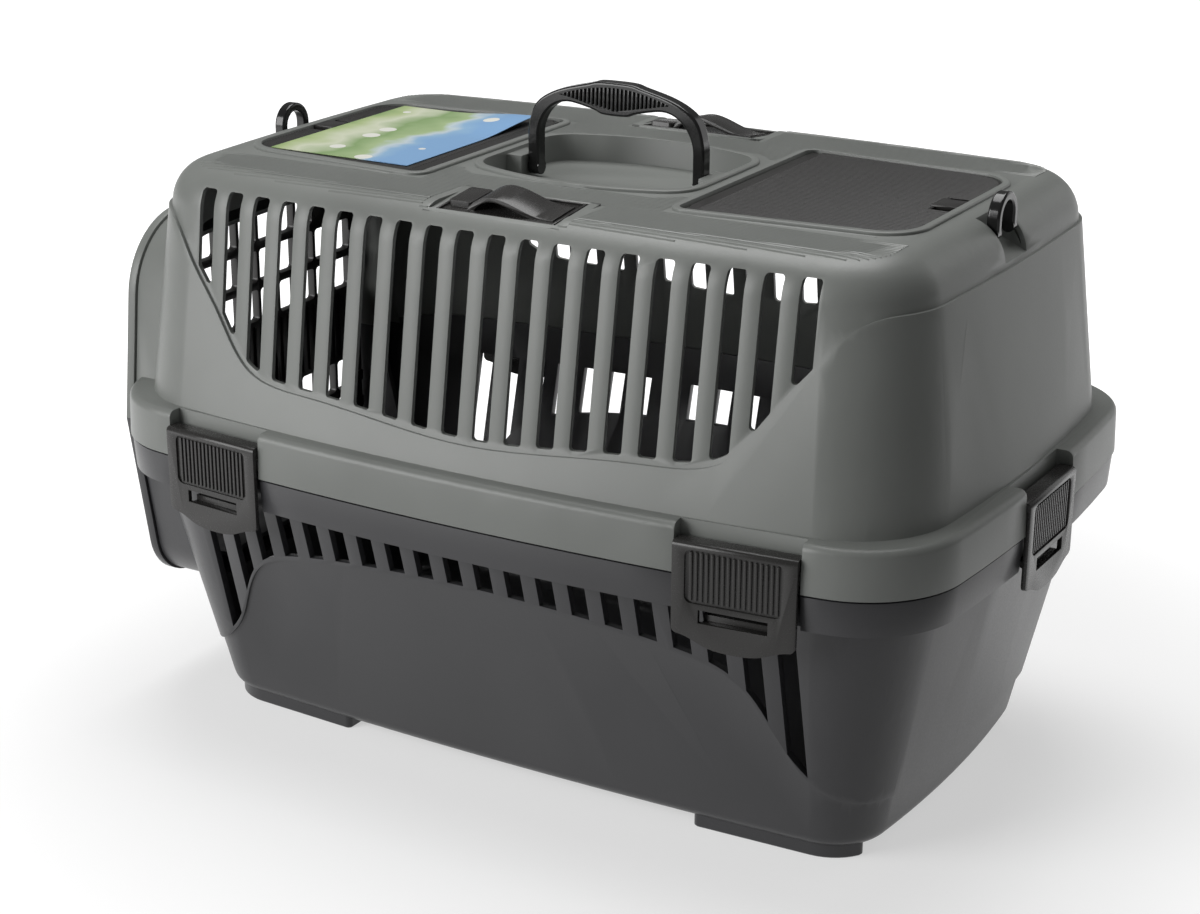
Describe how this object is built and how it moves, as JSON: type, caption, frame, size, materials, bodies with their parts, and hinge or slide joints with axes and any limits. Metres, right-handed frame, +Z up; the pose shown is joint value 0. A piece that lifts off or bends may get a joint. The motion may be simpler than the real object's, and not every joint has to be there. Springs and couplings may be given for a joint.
{
  "type": "pet carrier",
  "caption": "Hard two-part pet carrier with slotted sides, a grille door, snap latches, a fold-down handle, lidded roof storage, strap rings and belt guides.",
  "frame": {"origin": "on the floor under the middle of the carrier", "axes": "+X along the long side, away from the door; -Y is the long side seen in the picture; +Z up"},
  "size_m": [0.6141, 0.4012, 0.4363],
  "materials": {
    "shell_grey": "satin, fine spark texture",
    "tray_grey": "satin, fine spark texture",
    "satin_black": "satin",
    "gloss_black": "gloss",
    "lid_black": "matte, fine ribs",
    "spring_steel": "bright",
    "card": "coated card"
  },
  "bodies": {
    "housing": {"bottom_tray": "tray_grey", "top_shell": "shell_grey", "belt_guide_front": "satin_black", "belt_guide_back": "satin_black"},
    "door": {"door": "lid_black", "door_spring_upper": "spring_steel", "door_spring_lower": "spring_steel"},
    "upper_bolt": {"door_bolt_upper": "lid_black"},
    "lower_bolt": {"door_bolt_lower": "lid_black"},
    "handle": {"carry_handle": "gloss_black"},
    "left_lid": {"left_lid": "lid_black", "insert_card": "card"},
    "right_lid": {"right_lid": "lid_black"},
    "left_ring": {"strap_ring_left": "gloss_black"},
    "right_ring": {"strap_ring_right": "gloss_black"},
    "latch_front_left": {"latch_front_left": "satin_black"},
    "latch_front_right": {"latch_front_right": "satin_black"},
    "latch_back_left": {"latch_back_left": "satin_black"},
    "latch_back_right": {"latch_back_right": "satin_black"},
    "latch_end": {"latch_end": "satin_black"}
  },
  "joints": [
    {"name": "latch_front_left_pivot", "type": "hinge", "parent": "housing", "child": "latch_front_left", "pos_m": [-0.1891, -0.18554, 0.2173], "axis": [-0.9961, 0.0882, 0], "range_deg": [0, 60]},
    {"name": "latch_front_right_pivot", "type": "hinge", "parent": "housing", "child": "latch_front_right", "pos_m": [0.1891, -0.18554, 0.2173], "axis": [-0.9961, -0.0882, 0], "range_deg": [0, 60]},
    {"name": "latch_back_left_pivot", "type": "hinge", "parent": "housing", "child": "latch_back_left", "pos_m": [-0.1891, 0.18554, 0.2173], "axis": [0.9961, 0.0882, 0], "range_deg": [0, 60]},
    {"name": "latch_back_right_pivot", "type": "hinge", "parent": "housing", "child": "latch_back_right", "pos_m": [0.1891, 0.18554, 0.2173], "axis": [0.9961, -0.0882, 0], "range_deg": [0, 60]},
    {"name": "latch_end_pivot", "type": "hinge", "parent": "housing", "child": "latch_end", "pos_m": [0.2967, 0, 0.2173], "axis": [0, -1, 0], "range_deg": [0, 60]},
    {"name": "door_swing", "type": "hinge", "parent": "housing", "child": "door", "pos_m": [-0.301, -0.117, 0.206], "axis": [0, 0, 1], "range_deg": [0, 105]},
    {"name": "upper_bolt_slide", "type": "slide", "parent": "door", "child": "upper_bolt", "axis": [0, 0, 1], "range_m": [0, 0.012], "deforming": ["door_spring_upper"]},
    {"name": "lower_bolt_slide", "type": "slide", "parent": "door", "child": "lower_bolt", "axis": [0, 0, -1], "range_m": [0, 0.012], "deforming": ["door_spring_lower"]},
    {"name": "handle_swing", "type": "hinge", "parent": "housing", "child": "handle", "pos_m": [0, 0, 0.375], "axis": [1, 0, 0], "range_deg": [-90, 90]},
    {"name": "left_lid_hinge", "type": "hinge", "parent": "housing", "child": "left_lid", "pos_m": [-0.0967, 0, 0.3816], "axis": [0, 1, 0], "range_deg": [0, 95]},
    {"name": "right_lid_hinge", "type": "hinge", "parent": "housing", "child": "right_lid", "pos_m": [0.0967, 0, 0.3816], "axis": [0, -1, 0], "range_deg": [0, 95]},
    {"name": "left_ring_swing", "type": "hinge", "parent": "housing", "child": "left_ring", "pos_m": [-0.262, 0, 0.374], "axis": [0, -1, 0], "range_deg": [0, 80]},
    {"name": "right_ring_swing", "type": "hinge", "parent": "housing", "child": "right_ring", "pos_m": [0.262, 0, 0.374], "axis": [0, 1, 0], "range_deg": [0, 80]}
  ]
}
